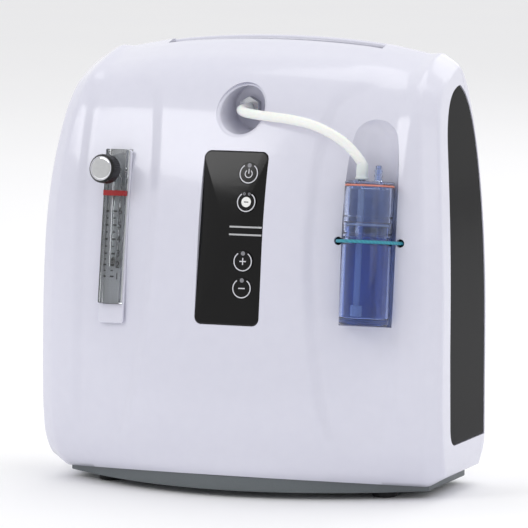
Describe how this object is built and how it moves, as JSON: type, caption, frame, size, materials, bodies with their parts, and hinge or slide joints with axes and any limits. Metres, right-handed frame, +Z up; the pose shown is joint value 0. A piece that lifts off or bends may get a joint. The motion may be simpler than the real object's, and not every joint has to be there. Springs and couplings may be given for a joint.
{
  "type": "oxygen concentrator",
  "caption": "Home oxygen concentrator with a curved glossy housing, float flow meter, key panel, strapped humidifier bottle with silicone hose, compressor, sieve beds and fan inside.",
  "frame": {"origin": "bottom centre of the unit, on the plane its four feet stand on", "axes": "+Z up, front face towards -Y, the humidifier bottle on the +X side"},
  "size_m": [0.312, 0.1664, 0.3248],
  "materials": {
    "white_shell": "glossy injection-moulded ABS, white with a lavender tint",
    "shade_shell": "satin moulded ABS",
    "black_gloss": "piano-black gloss plastic",
    "grey_base": "textured grey plastic",
    "black_rubber": "matt black rubber",
    "board_green": "solder-masked glass-fibre board",
    "nickel": "bright nickel-plated brass",
    "clear_acrylic": "clear acrylic",
    "black_plastic": "moulded black plastic",
    "knob_black": "gloss black plastic",
    "blue_clear": "translucent blue polycarbonate",
    "seal_coral": "coral silicone rubber",
    "milky_tube": "natural polyethylene tube",
    "sintered": "sintered porous plastic",
    "silicone_ivory": "ivory silicone tube",
    "elastic_teal": "braided teal elastic cord",
    "zinc_plate": "zinc-plated sheet steel",
    "motor_steel": "dark enamelled steel laminations",
    "cast_alloy": "as-cast aluminium",
    "ground_steel": "ground steel",
    "copper": "drawn copper tube",
    "bed_alloy": "drawn aluminium canister",
    "tank_white": "blow-moulded white plastic",
    "valve_blue": "blue moulded nylon",
    "filter_foam": "black open-cell filter foam"
  },
  "bodies": {
    "housing": {"front_housing": "white_shell", "rear_cover": "white_shell", "carry_handle": "white_shell", "finger_well": "shade_shell", "side_panel_left": "black_gloss", "side_panel_right": "black_gloss", "control_fascia": "black_gloss", "key_board": "board_green", "outlet_fitting": "nickel", "flow_bezel": "shade_shell", "flow_tube_block": "clear_acrylic", "outlet_hose": "silicone_ivory", "bottle_strap": "elastic_teal", "base_tray": "grey_base", "foot_front_left": "black_rubber", "foot_front_right": "black_rubber", "foot_rear_left": "black_rubber", "foot_rear_right": "black_rubber", "isolator_1": "black_rubber", "isolator_2": "black_rubber", "isolator_3": "black_rubber", "isolator_4": "black_rubber", "compressor_plate": "zinc_plate", "compressor_motor": "motor_steel", "crankcase_left": "cast_alloy", "crankcase_right": "cast_alloy", "cylinder_head_left": "cast_alloy", "cylinder_head_right": "cast_alloy", "cooling_fan_frame": "black_plastic", "cooling_coil": "copper", "sieve_bed_front": "bed_alloy", "sieve_bed_rear": "bed_alloy", "valve_manifold": "valve_blue", "solenoid_valve": "black_plastic", "oxygen_tank": "tank_white", "power_board": "board_green", "exhaust_muffler": "black_plastic", "mains_inlet": "black_plastic", "switch_frame": "black_plastic"},
    "power_key": {"power_key": "black_gloss"},
    "timer_key": {"timer_key": "black_gloss"},
    "plus_key": {"plus_key": "black_gloss"},
    "minus_key": {"minus_key": "black_gloss"},
    "flow_knob": {"flow_knob": "knob_black", "knob_disc": "nickel", "flow_valve_stem": "ground_steel"},
    "flow_float": {"flow_float": "knob_black"},
    "humidifier_top": {"humidifier_cap": "blue_clear", "humidifier_lid": "blue_clear", "lid_seal": "seal_coral", "cup_seal": "black_rubber", "dip_tube": "milky_tube", "bubble_diffuser": "sintered"},
    "humidifier_cup": {"humidifier_cup": "blue_clear"},
    "fan_rotor": {"cooling_fan_rotor": "black_plastic"},
    "motor_rotor": {"motor_shaft": "ground_steel", "compressor_fan": "black_plastic"},
    "filter_door": {"filter_cover": "white_shell", "intake_filter": "filter_foam"},
    "power_rocker": {"power_rocker": "knob_black"}
  },
  "joints": [
    {"name": "power_key_press", "type": "slide", "parent": "housing", "child": "power_key", "axis": [-0.0157, 0.9601, -0.2792], "range_m": [0, 0.0006], "stiffness_N_per_m": 800},
    {"name": "timer_key_press", "type": "slide", "parent": "housing", "child": "timer_key", "axis": [-0.0176, 0.9766, -0.2143], "range_m": [0, 0.0006], "stiffness_N_per_m": 800},
    {"name": "plus_key_press", "type": "slide", "parent": "housing", "child": "plus_key", "axis": [-0.0212, 0.9926, -0.1195], "range_m": [0, 0.0006], "stiffness_N_per_m": 800},
    {"name": "minus_key_press", "type": "slide", "parent": "housing", "child": "minus_key", "axis": [-0.0228, 0.9923, -0.1221], "range_m": [0, 0.0006], "stiffness_N_per_m": 800},
    {"name": "knob_turn", "type": "hinge", "parent": "housing", "child": "flow_knob", "pos_m": [-0.09368, -0.06194, 0.23215], "axis": [-0.1465, -0.9782, 0.147], "range_deg": [0, 1080]},
    {"name": "float_rise", "type": "slide", "parent": "housing", "child": "flow_float", "axis": [0, 0.1486, 0.9889], "range_m": [0, 0.052]},
    {"name": "bottle_pull", "type": "slide", "parent": "housing", "child": "humidifier_top", "axis": [0, -0.9921, 0.1253], "range_m": [0, 0.03], "stiffness_N_per_m": 120, "deforming": ["bottle_strap", "outlet_hose"]},
    {"name": "cup_turn", "type": "hinge", "parent": "humidifier_top", "child": "humidifier_cup", "pos_m": [0.1042, -0.05931, 0.1788], "axis": [0, 0.1253, 0.9921], "range_deg": [-60, 0]},
    {"name": "fan_spin", "type": "hinge", "parent": "housing", "child": "fan_rotor", "pos_m": [0.025, 0.05819, 0.1], "axis": [0, 1, 0], "continuous": true},
    {"name": "motor_spin", "type": "hinge", "parent": "housing", "child": "motor_rotor", "pos_m": [0, -0.00681, 0.088], "axis": [1, 0, 0], "continuous": true},
    {"name": "filter_pull", "type": "slide", "parent": "housing", "child": "filter_door", "axis": [0, 1, 0], "range_m": [0, 0.025]},
    {"name": "rocker_tilt", "type": "hinge", "parent": "housing", "child": "power_rocker", "pos_m": [0.074, 0.07065, 0.046], "axis": [0, 0, 1], "range_deg": [0, 24]}
  ]
}
